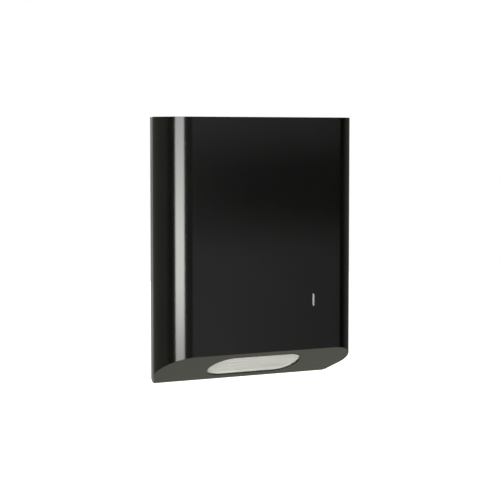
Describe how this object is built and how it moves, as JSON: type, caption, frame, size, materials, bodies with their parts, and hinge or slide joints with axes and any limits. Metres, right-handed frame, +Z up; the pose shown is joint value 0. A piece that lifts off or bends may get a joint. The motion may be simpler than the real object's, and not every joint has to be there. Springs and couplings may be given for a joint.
{
  "type": "paper towel dispenser",
  "caption": "Wall cabinet for folded paper towels: flat front with round corners, slanted underside with a long rounded slot, lift-up cover with a hidden latch lever.",
  "frame": {"origin": "middle of the four wall-screw holes, on the wall plane", "axes": "+Z up, +X to the right as one faces the cabinet, +Y into the wall, so the front looks along -Y"},
  "size_m": [0.319, 0.092, 0.3869],
  "materials": {
    "dark_steel": "satin black coating on sheet steel",
    "grey_steel": "satin grey coating on sheet steel",
    "bare_steel": "zinc plated sheet and turned steel",
    "bright_steel": "bright plated",
    "white_plastic": "moulded nylon",
    "black_rubber": "matte",
    "paper": "soft white folded paper towels"
  },
  "bodies": {
    "root": {"wall_tray": "grey_steel", "towel_cradle": "bare_steel", "side_guide_left": "bare_steel", "side_guide_right": "bare_steel", "hinge_bracket_left": "bare_steel", "hinge_bracket_right": "bare_steel", "hinge_pin_left": "bare_steel", "hinge_pin_right": "bare_steel", "hinge_clips": "bare_steel", "striker": "bare_steel", "cover_buffers": "black_rubber", "guide_rivets": "bare_steel", "bracket_rivets": "bare_steel", "cradle_rivets": "bare_steel", "striker_rivets": "bare_steel", "towel_stack": "paper"},
    "cover": {"cover_wrap": "dark_steel", "cover_top": "dark_steel", "cover_bottom": "dark_steel", "hinge_ear_left": "bare_steel", "hinge_ear_right": "bare_steel", "hinge_bush_left": "white_plastic", "hinge_bush_right": "white_plastic", "latch_stud": "bare_steel", "latch_spacer": "bare_steel", "latch_clip": "bare_steel", "latch_stops": "bare_steel"},
    "latch": {"latch_lever": "bare_steel", "latch_tab": "bright_steel", "tab_rivets": "bare_steel"}
  },
  "joints": [
    {"name": "cover_hinge", "type": "hinge", "parent": "root", "child": "cover", "pos_m": [0, -0.022, 0.1818], "axis": [-1, 0, 0], "range_deg": [0, 90]},
    {"name": "latch_pivot", "type": "hinge", "parent": "cover", "child": "latch", "pos_m": [0.101, -0.0859, -0.0809], "axis": [0, 1, 0], "range_deg": [0, 12]}
  ]
}
